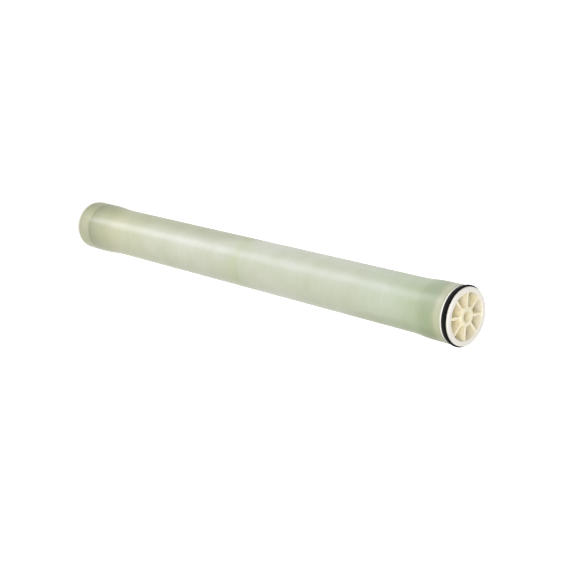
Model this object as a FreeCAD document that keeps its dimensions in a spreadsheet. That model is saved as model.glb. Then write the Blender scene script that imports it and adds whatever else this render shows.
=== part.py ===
import FreeCAD, Part
import math
import os
import re

import Sketcher
from FreeCAD import Placement, Rotation, Vector

# A spiral-wound reverse osmosis element, standing on its tail end.
# The axis is +Z. The tail face is at z = 0 and the feed face, with the seal, is on top.

doc = FreeCAD.newDocument("ro_membrane_element")

# Driving sizes, in millimetres unless the note says otherwise

SIZES = [
    ("element_length", 1016.0, "over both end faces"),
    ("rim_dia", 98.1, "rim and flange of both end caps"),
    ("wrap_gap", 0.05, "between pieces that are wound, bonded or pressed together"),
    ("tube_dia", 27.0, "permeate tube outside"),
    ("tube_wall", 4.5, "permeate tube, between its sockets"),
    ("socket_wall", 3.95, "tube round the socket for the connector at each end"),
    ("port_depth", 45.0, "socket, from the end face"),
    ("perforation_dia", 3.2, "permeate holes through the tube"),
    ("perforation_margin", 90.0, "from the end face to the first hole"),
    ("perforation_count", 18.0, "holes in each row, a number"),
    ("leaf_count", 6.0, "membrane leaves in the roll, a number"),
    ("carrier_thickness", 0.3, "knitted permeate carrier"),
    ("membrane_thickness", 0.16, "one ply of membrane"),
    ("spacer_thickness", 0.75, "feed spacer net"),
    ("sheet_gap", 0.02, "between two wound sheets"),
    ("fold_setback", 4.0, "from the start of a carrier to the fold beside it"),
    ("tape_thickness", 0.25, "tape round the roll"),
    ("shell_thickness", 2.65, "glass fibre shell along the body"),
    ("body_step", 1.95, "from the rim's outside in to the body"),
    ("feed_flare_rise", 0.75, "from the rim's outside out to the shell over the feed cap's skirt"),
    ("tail_flare_rise", 1.05, "from the rim's outside out to the shell over the tail cap's skirt"),
    ("feed_flare_end", 49.0, "full flare, from the feed face"),
    ("tail_flare_end", 55.0, "full flare, from the tail face"),
    ("feed_taper", 50.0, "length over which the feed flare runs out"),
    ("tail_taper", 65.0, "length over which the tail flare runs out"),
    ("rim_chamfer", 0.8, "outer edge of the rim"),
    ("rim_wall", 8.75, "from the rim's outside in to the ends of the spokes"),
    ("opening_chamfer", 1.2, "inner edge of the rim"),
    ("rim_width", 4.5, "feed cap, from its face to the groove"),
    ("groove_depth", 4.75, "seal groove, from the rim's outside"),
    ("groove_width", 10.0, "seal groove"),
    ("flange_width", 3.0, "flange behind the groove"),
    ("tail_rim_width", 6.0, "tail cap, from its face to the shell"),
    ("skirt_thickness", 1.8, "skirt over the end of the roll"),
    ("skirt_clearance", 0.25, "between the taped roll and the skirt"),
    ("feed_skirt_end", 36.0, "feed cap, from its face to the skirt's edge"),
    ("tail_skirt_end", 43.0, "tail cap, from its face to the skirt's edge"),
    ("hub_wall", 3.0, "hub, from the outside of the permeate tube"),
    ("hub_recess", 0.6, "hub below the rim's face"),
    ("hub_chamfer", 0.8, "outer edge of the hub"),
    ("spoke_count", 8.0, "a number"),
    ("spoke_thickness", 4.8, "each spoke"),
    ("spoke_recess", 2.2, "spokes below the rim's face"),
    ("window_corner", 1.8, "radius where a spoke meets the hub or the rim"),
    ("seal_side_gap", 0.25, "between the seal and each side of its groove"),
    ("seal_lip_rise", 2.55, "free lip of the seal, outside the rim"),
    ("seal_heel_rise", 0.55, "back of the seal, outside the rim"),
    ("seal_lip_land", 2.6, "straight part of the lip"),
    ("seal_lip_thickness", 1.9, "outer leg of the seal"),
    ("seal_foot_thickness", 1.8, "inner leg of the seal"),
    ("seal_web", 3.4, "back of the seal, behind its notch"),
    ("seal_notch", 1.0, "bottom of the notch between the legs"),
    ("seal_edge", 0.7, "edges of the lip and the heel"),
]

sheet = doc.addObject("Spreadsheet::Sheet", "sizes")
for row, (alias, value, note) in enumerate(SIZES, start=1):
    sheet.set(f"A{row}", alias)
    sheet.set(f"B{row}", str(value))
    sheet.set(f"C{row}", note)
    sheet.setAlias(f"B{row}", alias)
doc.recompute()

FUNCTIONS = {"sqrt", "sin", "cos"}


def bound(formula):
    """The formula with each size's name pointed at its cell, as an expression wants it."""
    return re.sub(r"[a-z_]+", lambda m: m[0] if m[0] in FUNCTIONS else "sizes." + m[0], formula)


def amount(formula):
    """What the formula comes to now."""
    value = sheet.evalExpression(bound(formula))
    return float(getattr(value, "Value", value))


# Places that several pieces share, as formulas in the sizes. Those of the first block are radii.

RIM = "(rim_dia / 2)"
RIM_OPENING = f"({RIM} - rim_wall)"
GROOVE = f"({RIM} - groove_depth)"
FEED_FLARE = f"({RIM} + feed_flare_rise)"
TAIL_FLARE = f"({RIM} + tail_flare_rise)"
SHELL_BODY = f"({RIM} - body_step)"
ROLL = f"({SHELL_BODY} - shell_thickness - tape_thickness - 2 * wrap_gap)"
TAPED_ROLL = f"({ROLL} + wrap_gap + tape_thickness)"
SKIRT_INSIDE = f"({TAPED_ROLL} + skirt_clearance)"
SKIRT_OUTSIDE = f"({SKIRT_INSIDE} + skirt_thickness)"
HUB = "(tube_dia / 2 + hub_wall)"
HUB_BORE = "(tube_dia / 2 + wrap_gap)"

GROOVE_BACK = "(rim_width + groove_width)"
CAP_BACK = f"({GROOVE_BACK} + flange_width)"
ROLL_START = f"({CAP_BACK} + wrap_gap)"
ROLL_LENGTH = f"(element_length - 2 * {ROLL_START})"


# Sketches and bodies


def origin_plane(body, role):
    return next(f for f in body.Origin.OriginFeatures if f.Role == role)


def new_sketch(body, name, role):
    sketch = body.newObject("Sketcher::SketchObject", name)
    sketch.AttachmentSupport = [(origin_plane(body, role), "")]
    sketch.MapMode = "FlatFace"
    return sketch


def hold(sketch, constraint, name, formula):
    """Add a named constraint and bind it to its formula."""
    sketch.renameConstraint(sketch.addConstraint(constraint), name)
    sketch.setExpression(f"Constraints.{name}", bound(formula))


def arc_through(start, end, radius, left):
    """The shorter arc from start to end whose centre is to the left, or right, of the way between them."""
    way = end - start
    side = Vector(-way.y, way.x, 0).normalize() * (1 if left else -1)
    centre = (start + end) * 0.5 + side * math.sqrt(radius**2 - (way.Length / 2) ** 2)
    first, last = (start, end) if left else (end, start)
    angles = [math.atan2(p.y - centre.y, p.x - centre.x) for p in (first, last)]
    if angles[1] < angles[0]:
        angles[1] += 2 * math.pi
    return Part.ArcOfCircle(Part.Circle(centre, Vector(0, 0, 1), radius), *angles)


def outline(sketch, corners, arcs=()):
    """Join the corners by edges, each corner held at its two formulas.

    arcs gives (first corner, radius, centre on the left) for each edge that is an arc.
    """
    curved = {first: (radius, left) for first, radius, left in arcs}
    points = [Vector(amount(across), amount(up), 0) for across, up in corners]
    starts, ends = [], []
    for i, point in enumerate(points):
        following = points[(i + 1) % len(points)]
        if i in curved:
            radius, left = curved[i]
            sketch.addGeometry(arc_through(point, following, amount(radius), left))
        else:
            left = True
            sketch.addGeometry(Part.LineSegment(point, following))
        starts.append((i, 1 if left else 2))
        ends.append((i, 2 if left else 1))
    for i in range(len(points)):
        sketch.addConstraint(Sketcher.Constraint("Coincident", *ends[i - 1], *starts[i]))
    for i, (across, up) in enumerate(corners):
        place = points[i]
        hold(sketch, Sketcher.Constraint("DistanceX", -1, 1, *starts[i], place.x), f"across_{i}", across)
        hold(sketch, Sketcher.Constraint("DistanceY", -1, 1, *starts[i], place.y), f"up_{i}", up)
    for i, (radius, _) in curved.items():
        hold(sketch, Sketcher.Constraint("Radius", i, amount(radius)), f"radius_{i}", radius)


def turned_body(name, corners, arcs=()):
    """A body turned about Z from a section given as (radius, height) corners."""
    body = doc.addObject("PartDesign::Body", name)
    section = new_sketch(body, name + "_section", "XZ_Plane")
    outline(section, corners, arcs)
    turn = body.newObject("PartDesign::Revolution", name + "_turn")
    turn.Profile = section
    turn.ReferenceAxis = (section, ["V_Axis"])
    turn.Angle = 360
    doc.recompute()
    return body


def stand_at_feed_end(body):
    """Turn a body that is drawn with its outer face at z = 0 over, onto the feed end."""
    body.Placement = Placement(Vector(0, 0, amount("element_length")), Rotation(Vector(1, 0, 0), 180))
    body.setExpression("Placement.Base.z", bound("element_length"))


# Permeate tube

TUBE = "(tube_dia / 2)"
TUBE_BORE = f"({TUBE} - tube_wall)"
SOCKET = f"({TUBE} - socket_wall)"
PERFORATION_PITCH = "(element_length - 2 * perforation_margin) / (perforation_count - 1)"


def row_of_perforations(body, name, role, first_height, count):
    """One row of holes on opposite sides of the tube, repeated along it."""
    before = body.Shape.Volume
    height, radius = amount(first_height), amount("perforation_dia / 2")
    sketch = new_sketch(body, name + "_sketch", role)
    sketch.addGeometry(Part.Circle(Vector(0, height, 0), Vector(0, 0, 1), radius))
    sketch.addConstraint(Sketcher.Constraint("PointOnObject", 0, 3, -2))
    hold(sketch, Sketcher.Constraint("DistanceY", -1, 1, 0, 3, height), "height", first_height)
    hold(sketch, Sketcher.Constraint("Radius", 0, radius), "radius", "perforation_dia / 2")
    hole = body.newObject("PartDesign::Pocket", name)
    hole.Profile = sketch
    hole.Type = "ThroughAll"
    hole.SideType = "Symmetric"
    doc.recompute()
    rows = body.newObject("PartDesign::LinearPattern", name + "_pattern")
    rows.Originals = [hole]
    rows.Direction = (sketch, ["V_Axis"])
    rows.setExpression("Length", bound(f"{PERFORATION_PITCH} * ({count} - 1)"))
    rows.setExpression("Occurrences", bound(count))
    body.Tip = rows
    doc.recompute()
    if body.Shape.Volume >= before:
        raise RuntimeError(f"{name} cuts nothing")


tube = turned_body(
    "permeate_tube",
    [
        (SOCKET, "0"),
        (TUBE, "0"),
        (TUBE, "element_length"),
        (SOCKET, "element_length"),
        (SOCKET, "element_length - port_depth"),
        (TUBE_BORE, "element_length - port_depth"),
        (TUBE_BORE, "port_depth"),
        (SOCKET, "port_depth"),
    ],
)
HALF_PITCH_UP = f"perforation_margin + {PERFORATION_PITCH} / 2"
row_of_perforations(tube, "perforations", "XZ_Plane", "perforation_margin", "perforation_count")
row_of_perforations(tube, "cross_perforations", "YZ_Plane", HALF_PITCH_UP, "(perforation_count - 1)")


# End caps


def end_cap(name, outside):
    """A cap drawn with its face at z = 0. outside leads from the rim's outer edge to the skirt's inside."""
    body = turned_body(
        name,
        [
            (HUB_BORE, "hub_recess"),
            (f"{HUB} - hub_chamfer", "hub_recess"),
            (HUB, "hub_recess + hub_chamfer"),
            (HUB, "spoke_recess"),
            (RIM_OPENING, "spoke_recess"),
            (RIM_OPENING, "opening_chamfer"),
            (f"{RIM_OPENING} + opening_chamfer", "0"),
            (f"{RIM} - rim_chamfer", "0"),
            (RIM, "rim_chamfer"),
            *outside,
            (SKIRT_INSIDE, CAP_BACK),
            (HUB_BORE, CAP_BACK),
        ],
    )
    cut_windows(body, name)
    return body


def beside_spoke(along, off, side):
    """A place along a spoke and off its middle, for the window that the sketch's X axis runs through."""
    across = f"{along} * cos(180 / spoke_count) + {off} * sin(180 / spoke_count)"
    up = f"{side} * ({along} * sin(180 / spoke_count) - {off} * cos(180 / spoke_count))"
    return across, up


def rounded_corner(circle, reach, side):
    """Both ends of the round corner between a spoke and a circle. reach is how far out its centre lies."""
    off = "(spoke_thickness / 2 + window_corner)"
    along = f"sqrt({reach}^2 - {off}^2)"
    on_circle = beside_spoke(f"{along} * {circle} / {reach}", f"{off} * {circle} / {reach}", side)
    on_spoke = beside_spoke(along, "spoke_thickness / 2", side)
    return on_circle, on_spoke


def cut_windows(body, name):
    """Cut one window between two spokes and repeat it round the hub."""
    before = body.Shape.Volume
    hub_reach, rim_reach = f"({HUB} + window_corner)", f"({RIM_OPENING} - window_corner)"
    corners = [
        *reversed(rounded_corner(RIM_OPENING, rim_reach, -1)),
        *rounded_corner(RIM_OPENING, rim_reach, 1),
        *reversed(rounded_corner(HUB, hub_reach, 1)),
        *rounded_corner(HUB, hub_reach, -1),
    ]
    arcs = [(first, "window_corner", True) for first in (0, 2, 4, 6)]
    arcs += [(1, RIM_OPENING, True), (5, HUB, False)]
    sketch = new_sketch(body, name + "_window_sketch", "XY_Plane")
    outline(sketch, corners, arcs)
    window = body.newObject("PartDesign::Pocket", name + "_window")
    window.Profile = sketch
    window.Type = "ThroughAll"
    window.SideType = "Symmetric"
    doc.recompute()
    windows = body.newObject("PartDesign::PolarPattern", name + "_windows")
    windows.Originals = [window]
    windows.Axis = (sketch, ["N_Axis"])
    windows.Angle = 360
    windows.setExpression("Occurrences", bound("spoke_count"))
    body.Tip = windows
    doc.recompute()
    if body.Shape.Volume >= before:
        raise RuntimeError(f"the windows of {name} cut nothing")


feed_cap = end_cap(
    "feed_end_cap",
    [
        (RIM, "rim_width"),
        (GROOVE, "rim_width"),
        (GROOVE, GROOVE_BACK),
        (RIM, GROOVE_BACK),
        (RIM, CAP_BACK),
        (SKIRT_OUTSIDE, CAP_BACK),
        (SKIRT_OUTSIDE, "feed_skirt_end"),
        (SKIRT_INSIDE, "feed_skirt_end"),
    ],
)
stand_at_feed_end(feed_cap)

end_cap(
    "tail_end_cap",
    [
        (RIM, "tail_rim_width"),
        (SKIRT_OUTSIDE, "tail_rim_width"),
        (SKIRT_OUTSIDE, "tail_skirt_end"),
        (SKIRT_INSIDE, "tail_skirt_end"),
    ],
)


# Brine seal, a U-cup that opens towards the feed

SEAL_INSIDE = f"({GROOVE} + wrap_gap)"
SEAL_LIP = f"({RIM} + seal_lip_rise)"
SEAL_HEEL = f"({RIM} + seal_heel_rise)"
SEAL_FRONT = "(rim_width + seal_side_gap)"
SEAL_BACK = f"({GROOVE_BACK} - seal_side_gap)"
NOTCH_INSIDE = f"({SEAL_INSIDE} + seal_foot_thickness)"

seal = turned_body(
    "brine_seal",
    [
        (SEAL_INSIDE, SEAL_FRONT),
        (NOTCH_INSIDE, SEAL_FRONT),
        (NOTCH_INSIDE, f"{SEAL_BACK} - seal_web"),
        (f"{NOTCH_INSIDE} + seal_notch", f"{SEAL_BACK} - seal_web"),
        (f"{SEAL_LIP} - seal_lip_thickness", SEAL_FRONT),
        (f"{SEAL_LIP} - seal_edge", SEAL_FRONT),
        (SEAL_LIP, f"{SEAL_FRONT} + seal_edge"),
        (SEAL_LIP, f"{SEAL_FRONT} + seal_edge + seal_lip_land"),
        (SEAL_HEEL, f"{SEAL_BACK} - seal_edge"),
        (f"{SEAL_HEEL} - seal_edge", SEAL_BACK),
        (SEAL_INSIDE, SEAL_BACK),
    ],
)
stand_at_feed_end(seal)


# Tape and glass fibre shell

TAPE_INSIDE = f"{ROLL} + wrap_gap"

turned_body(
    "roll_tape",
    [
        (TAPE_INSIDE, ROLL_START),
        (TAPED_ROLL, ROLL_START),
        (TAPED_ROLL, f"element_length - {ROLL_START}"),
        (TAPE_INSIDE, f"element_length - {ROLL_START}"),
    ],
)


def taper_radius(flare, taper):
    """Radius of the two equal arcs that lead from the flare to the body without a corner."""
    return f"({taper}^2 + ({flare} - {SHELL_BODY})^2) / (4 * ({flare} - {SHELL_BODY}))"


def taper_middle(flare):
    return f"({flare} + {SHELL_BODY}) / 2"


SHELL_ON_SKIRT = f"{SKIRT_OUTSIDE} + wrap_gap"
SHELL_ON_ROLL = f"{TAPED_ROLL} + wrap_gap"

turned_body(
    "fibreglass_shell",
    [
        (SHELL_ON_SKIRT, "tail_rim_width + wrap_gap"),
        (TAIL_FLARE, "tail_rim_width + wrap_gap"),
        (TAIL_FLARE, "tail_flare_end"),
        (taper_middle(TAIL_FLARE), "tail_flare_end + tail_taper / 2"),
        (SHELL_BODY, "tail_flare_end + tail_taper"),
        (SHELL_BODY, "element_length - feed_flare_end - feed_taper"),
        (taper_middle(FEED_FLARE), "element_length - feed_flare_end - feed_taper / 2"),
        (FEED_FLARE, "element_length - feed_flare_end"),
        (FEED_FLARE, f"element_length - {CAP_BACK} - wrap_gap"),
        (SHELL_ON_SKIRT, f"element_length - {CAP_BACK} - wrap_gap"),
        (SHELL_ON_SKIRT, "element_length - feed_skirt_end - wrap_gap"),
        (SHELL_ON_ROLL, "element_length - feed_skirt_end - wrap_gap"),
        (SHELL_ON_ROLL, "tail_skirt_end + wrap_gap"),
        (SHELL_ON_SKIRT, "tail_skirt_end + wrap_gap"),
    ],
    arcs=[
        (2, taper_radius(TAIL_FLARE, "tail_taper"), True),
        (3, taper_radius(TAIL_FLARE, "tail_taper"), False),
        (5, taper_radius(FEED_FLARE, "feed_taper"), False),
        (6, taper_radius(FEED_FLARE, "feed_taper"), True),
    ],
)


# The roll
# Each leaf is a carrier, a membrane folded round a spacer, and the gaps between them.
# All leaves follow the same spiral, turned by equal steps. The spiral is the path of a string's end
# as it unwinds from a regular polygon whose side is one leaf's thickness,
# so that it is all arcs and the leaves nest exactly.

leaves = round(amount("leaf_count"))
gap = amount("sheet_gap")
carrier = amount("carrier_thickness")
ply = amount("membrane_thickness")
spacer = amount("spacer_thickness")
step = 2 * math.pi / leaves
pitch = carrier + 2 * ply + spacer + 4 * gap
centre_circle = pitch / (2 * math.sin(step / 2))
inradius = centre_circle * math.cos(step / 2)
first_radius = pitch / 2 + math.sqrt(amount(HUB_BORE) ** 2 - inradius**2)

# How far each face of a sheet lies outside the spiral, from the tube outwards
INNER_PLY = carrier + gap
SPACER_FACE = INNER_PLY + ply + gap
OUTER_PLY = SPACER_FACE + spacer + gap
LEAF_FACE = OUTER_PLY + ply


def arc_centre(index):
    """The corner of the polygon that an arc of the spiral turns about."""
    angle = index * step
    return Vector(centre_circle * math.cos(angle), centre_circle * math.sin(angle), 0)


def arc_start(index):
    """The angle at which an arc of the spiral starts, seen from its own centre."""
    return (index - 0.5) * step - math.pi / 2


def last_arc():
    """The arc on which a leaf's outer face reaches the size of the roll, and the angle there."""
    roll = amount(ROLL)
    index = 0
    while math.hypot(inradius, first_radius + index * pitch + LEAF_FACE + pitch / 2) < roll:
        index += 1
    radius = first_radius + index * pitch + LEAF_FACE
    turn = math.acos((roll**2 - centre_circle**2 - radius**2) / (2 * centre_circle * radius))
    return index, index * step - turn


LAST_ARC, LAST_ANGLE = last_arc()


def at(index, radius, angle):
    return arc_centre(index) + Vector(radius * math.cos(angle), radius * math.sin(angle), 0)


def wound_face(offset, start_angle):
    """Arcs of one face of a sheet, from its inner end to its outer end."""
    edges = []
    for index in range(LAST_ARC + 1):
        radius = first_radius + index * pitch + offset
        low = start_angle if index == 0 else arc_start(index)
        high = LAST_ANGLE if index == LAST_ARC else arc_start(index + 1)
        ends = [at(index, radius, angle) for angle in (low, (low + high) / 2, high)]
        edges.append(Part.Arc(*ends).toShape())
    return edges


def end_point(offset):
    return at(LAST_ARC, first_radius + LAST_ARC * pitch + offset, LAST_ANGLE)


def wound_solid(edges):
    """The face inside the edges, drawn out along the roll."""
    wire = Part.Wire(Part.__sortEdges__(edges))
    return Part.Face(wire).extrude(Vector(0, 0, amount(ROLL_LENGTH)))


def flat_sheet(inner, outer, start_angle):
    """A sheet with two blunt ends, between two offsets from the spiral."""
    starts = [at(0, first_radius + offset, start_angle) for offset in (inner, outer)]
    ends = [end_point(offset) for offset in (inner, outer)]
    blunt_ends = [Part.LineSegment(*starts).toShape(), Part.LineSegment(*ends).toShape()]
    return wound_solid(wound_face(inner, start_angle) + wound_face(outer, start_angle) + blunt_ends)


def folded_sheet(start_angle):
    """Two plies joined by a round fold at the tube, with room for the spacer between them."""
    inward = Vector(math.sin(start_angle), -math.cos(start_angle), 0)
    middle = at(0, first_radius + (INNER_PLY + LEAF_FACE) / 2, start_angle)
    edges = []
    for low, high in ((INNER_PLY, LEAF_FACE), (INNER_PLY + ply, OUTER_PLY)):
        top = middle + inward * ((high - low) / 2)
        ends = [at(0, first_radius + offset, start_angle) for offset in (low, high)]
        edges.append(Part.Arc(ends[0], top, ends[1]).toShape())
        edges += wound_face(low, start_angle) + wound_face(high, start_angle)
    for low, high in ((INNER_PLY, INNER_PLY + ply), (OUTER_PLY, LEAF_FACE)):
        edges.append(Part.LineSegment(end_point(low), end_point(high)).toShape())
    return wound_solid(edges)


fold_angle = arc_start(0) + amount("fold_setback") / first_radius
sheets = {
    "permeate_carrier": flat_sheet(0, carrier, arc_start(0)),
    "membrane_sheet": folded_sheet(fold_angle),
    "feed_spacer": flat_sheet(SPACER_FACE, SPACER_FACE + spacer, fold_angle),
}
for kind, shape in sheets.items():
    for leaf in range(leaves):
        wound = doc.addObject("Part::Feature", f"{kind}_{leaf + 1}")
        wound.Shape = shape
        turn = Rotation(Vector(0, 0, 1), 360 * leaf / leaves)
        wound.Placement = Placement(Vector(0, 0, amount(ROLL_START)), turn)


# Check every object, then write one file for each piece

doc.recompute()
for item in doc.Objects:
    if {"Invalid", "Error"} & set(item.State):
        raise RuntimeError(f"{item.Label} failed: {item.State}")

pieces = [item for item in doc.Objects if item.TypeId in ("PartDesign::Body", "Part::Feature")]
for piece in pieces:
    if piece.Shape.isNull() or not piece.Shape.isValid():
        raise RuntimeError(f"{piece.Label} has no valid shape")

os.makedirs("parts", exist_ok=True)
for piece in pieces:
    piece.Shape.exportStep(f"parts/{piece.Label}.step")
    print(f"{piece.Label}: {len(piece.Shape.Solids)} solid, {piece.Shape.Volume:.0f} mm3")
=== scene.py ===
# %% [markdown]
# This script dresses a reverse osmosis element, the long wound filter inside a desalination vessel.
# The CAD model comes in first as a fixed frame, in metres, standing on its tail end with the axis along +Z.
# Its meshes have few facets, so every piece here is made again, smooth and with its edges softened,
# in the very place that its CAD node holds.

# %% Load the frame
import math

import bmesh
import bpy
from mathutils import Matrix, Vector


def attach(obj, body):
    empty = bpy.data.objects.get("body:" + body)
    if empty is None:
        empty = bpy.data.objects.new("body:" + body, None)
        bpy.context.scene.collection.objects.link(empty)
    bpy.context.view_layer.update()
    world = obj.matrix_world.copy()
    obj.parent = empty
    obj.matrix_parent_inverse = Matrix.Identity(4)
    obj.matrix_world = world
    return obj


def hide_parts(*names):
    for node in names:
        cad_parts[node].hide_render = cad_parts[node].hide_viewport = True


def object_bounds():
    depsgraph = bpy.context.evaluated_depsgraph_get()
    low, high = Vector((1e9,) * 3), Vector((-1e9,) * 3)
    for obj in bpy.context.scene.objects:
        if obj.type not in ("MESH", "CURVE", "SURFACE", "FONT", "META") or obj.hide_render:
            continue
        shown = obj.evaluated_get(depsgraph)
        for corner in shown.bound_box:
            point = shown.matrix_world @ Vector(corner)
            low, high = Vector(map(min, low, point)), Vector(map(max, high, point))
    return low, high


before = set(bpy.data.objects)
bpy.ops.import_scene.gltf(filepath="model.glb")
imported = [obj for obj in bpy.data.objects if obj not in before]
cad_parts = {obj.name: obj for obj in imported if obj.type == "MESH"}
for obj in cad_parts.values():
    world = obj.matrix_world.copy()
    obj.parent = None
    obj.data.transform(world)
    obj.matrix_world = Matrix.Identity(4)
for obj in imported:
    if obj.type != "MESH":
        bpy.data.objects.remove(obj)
cad_low, cad_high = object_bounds()
LENGTH = cad_high.z
print("CAD nodes:", len(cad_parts))
print("CAD box in metres:", tuple(cad_low), tuple(cad_high))

# %% [markdown]
# The sizes below repeat the CAD source, in millimetres, because that file can't be read from here.
# Places along the element are given as a depth from the face of the nearer end cap.

# %% Sizes that several pieces share
MM = 0.001
RIM = 49.05
RIM_OPENING = 40.3
HUB = 16.5
HUB_BORE = 13.55
SPOKE_RECESS = 2.2
CAP_BACK = 17.5
TAIL_RIM_BACK = 6.0
SKIRT_INSIDE, SKIRT_OUTSIDE = 44.65, 46.45
FEED_SKIRT_END, TAIL_SKIRT_END = 36.0, 43.0
WRAP_GAP = 0.05
SHELL_BODY = 47.1
ROLL = 44.1
ROLL_START = CAP_BACK + WRAP_GAP
LENGTH_MM = LENGTH / MM
ROUND = 192

# %% [markdown]
# Most pieces of the element are turned shapes. In Blender a turned shape can be a Screw modifier on a line,
# or rings of points joined by faces in code. The code way is used here, because it gives closed rings
# with no seam, and each corner of the section can be rounded as the mould or the knife left it.


# %% Helpers for turned shapes
NEARLY_STRAIGHT = math.radians(88)
MOST_OF_EDGE = 0.45
DOUBLES, SLIVERS = 1e-7, 1e-6


def soften(corners, steps=4):
    """Round each (radius, height, rounding) corner of a closed section. A rounding of 0 keeps it sharp."""
    section = []
    for i, (across, up, rounding) in enumerate(corners):
        here = Vector((across, up))
        before = Vector(corners[i - 1][:2]) - here
        after = Vector(corners[(i + 1) % len(corners)][:2]) - here
        half = before.angle(after) / 2
        if rounding == 0 or half > NEARLY_STRAIGHT:
            section.append(tuple(here))
            continue
        reach = min(rounding / math.tan(half), MOST_OF_EDGE * before.length, MOST_OF_EDGE * after.length)
        start, end = here + before.normalized() * reach, here + after.normalized() * reach
        inward = (before.normalized() + after.normalized()).normalized()
        centre = here + inward * (reach / math.cos(half))
        turn = (start - centre).angle_signed(end - centre)
        for k in range(steps + 1):
            spot = (start - centre).copy()
            spot.rotate(Matrix.Rotation(-turn * k / steps, 2))
            section.append(tuple(centre + spot))
    return section


def finished(name, mesh, sharp=40):
    """An object of the mesh, with smooth shading up to the given angle between faces."""
    mesh.polygons.foreach_set("use_smooth", [True] * len(mesh.polygons))
    mesh.set_sharp_from_angle(angle=math.radians(sharp))
    piece = bpy.data.objects.new(name, mesh)
    bpy.context.scene.collection.objects.link(piece)
    return piece


def turned_mesh(name, section, around=ROUND):
    """Turn a closed section, in millimetres, about Z."""
    verts = []
    for radius, height in section:
        for k in range(around):
            angle = 2 * math.pi * k / around
            verts.append((radius * MM * math.cos(angle), radius * MM * math.sin(angle), height * MM))
    faces = []
    for i in range(len(section)):
        j = (i + 1) % len(section)
        for k in range(around):
            m = (k + 1) % around
            faces.append((i * around + k, i * around + m, j * around + m, j * around + k))
    mesh = bpy.data.meshes.new(name)
    mesh.from_pydata(verts, [], faces)
    point_outwards(mesh)
    return mesh


def point_outwards(mesh):
    """Turn the faces of closed shells so that they all point out."""
    work = bmesh.new()
    work.from_mesh(mesh)
    bmesh.ops.remove_doubles(work, verts=work.verts, dist=DOUBLES)
    bmesh.ops.recalc_face_normals(work, faces=work.faces)
    work.to_mesh(mesh)
    work.free()


def drop_slivers(mesh):
    """Take out the faces without area that a cut or a union leaves."""
    work = bmesh.new()
    work.from_mesh(mesh)
    bmesh.ops.dissolve_degenerate(work, dist=SLIVERS, edges=work.edges)
    work.to_mesh(mesh)
    work.free()


def flipped(section):
    """The section of a piece that is drawn from its own face, moved to the feed end."""
    return [(radius, LENGTH_MM - depth) for radius, depth in section]


# %% [markdown]
# Finishes, the sky and the shapes that repeat are all node trees. The helpers below add a node, set its
# inputs and link what comes from other nodes, so that each tree further down reads as a short list.
# Colours are written as a screen shows them, from 0 to 255, and turned into the linear values that
# a shader wants.


# %% Helpers for colours and nodes
def colour(red, green, blue):
    """A linear colour from screen values of 0 to 255."""
    linear = [((v / 255 + 0.055) / 1.055) ** 2.4 if v > 10 else v / 255 / 12.92 for v in (red, green, blue)]
    return (*linear, 1.0)


def grey(value):
    """A linear grey between 0 and 1."""
    return (value, value, value, 1.0)


def step(tree, kind, settings=(), **inputs):
    """Add one node. An input named _2 is the third one."""
    made = tree.nodes.new(kind)
    for key, value in dict(settings).items():
        setattr(made, key, value)
    for key, value in inputs.items():
        spot = made.inputs[int(key[1:])] if key[0] == "_" else made.inputs[key.replace("_", " ")]
        if isinstance(value, bpy.types.NodeSocket):
            tree.links.new(value, spot)
        else:
            spot.default_value = value
    return made


def sum_of(tree, operation, *values):
    """Add one arithmetic node and give what comes out of it."""
    given = {f"_{i}": value for i, value in enumerate(values)}
    return step(tree, "ShaderNodeMath", {"operation": operation}, **given).outputs[0]


# %% Helper for finishes
class Finish:
    """A material whose nodes are added one by one."""

    def __init__(self, name, roughness=0.5, **settings):
        self.material = bpy.data.materials.new(name)
        self.material.use_nodes = True
        self.tree = self.material.node_tree
        self.shader = self.tree.nodes["Principled BSDF"]
        self.shader.inputs["Roughness"].default_value = roughness
        for key, value in settings.items():
            self.shader.inputs[key.replace("_", " ")].default_value = value
        self.place = self.add("ShaderNodeTexCoord").outputs["Object"]
        self.axes = self.add("ShaderNodeSeparateXYZ", Vector=self.place).outputs

    def add(self, kind, settings=(), **inputs):
        return step(self.tree, kind, settings, **inputs)

    def math(self, operation, *values):
        return sum_of(self.tree, operation, *values)

    def noise(self, scale, detail=3.0, stretch=(1, 1, 1)):
        """Cloudy noise from 0 to 1. A stretch above 1 makes the clouds narrower along that axis."""
        mapping = self.add("ShaderNodeMapping", Vector=self.place, Scale=stretch)
        made = self.add("ShaderNodeTexNoise", Vector=mapping.outputs[0], Scale=scale, Detail=detail)
        return made.outputs["Fac"]

    def ramp(self, factor, stops):
        """A colour for each factor, from (factor, colour) stops."""
        made = self.add("ShaderNodeValToRGB", Fac=factor)
        elements = made.color_ramp.elements
        while len(elements) < len(stops):
            elements.new(1.0)
        for element, (position, value) in zip(elements, stops):
            element.position = position
            element.color = value
        return made.outputs["Color"]

    def mix(self, factor, first, second, blend="MIX"):
        settings = {"data_type": "RGBA", "blend_type": blend}
        return self.add("ShaderNodeMix", settings, _0=factor, _6=first, _7=second).outputs[2]

    def paint(self, value):
        self.tree.links.new(value, self.shader.inputs["Base Color"])

    def roughen(self, value, low, high):
        spread = self.add("ShaderNodeMapRange", Value=value, To_Min=low, To_Max=high)
        self.tree.links.new(spread.outputs[0], self.shader.inputs["Roughness"])

    def emboss(self, height, strength=0.3, depth=0.1):
        """A relief that only bends the light. Its depth is in millimetres."""
        bump = self.add("ShaderNodeBump", Strength=strength, Distance=depth * MM, Height=height)
        self.tree.links.new(bump.outputs[0], self.shader.inputs["Normal"])


# %% [markdown]
# The camera stands where the photographer's did. The picture is taken at an angle to the axis and turned,
# so the standing element lies across the frame. The numbers were found by fitting the outline of the element
# to the picture: how far the camera is from the axis and how high, two small turns of its aim,
# its roll and its focal length in pixels of a picture 570 wide.

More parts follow.
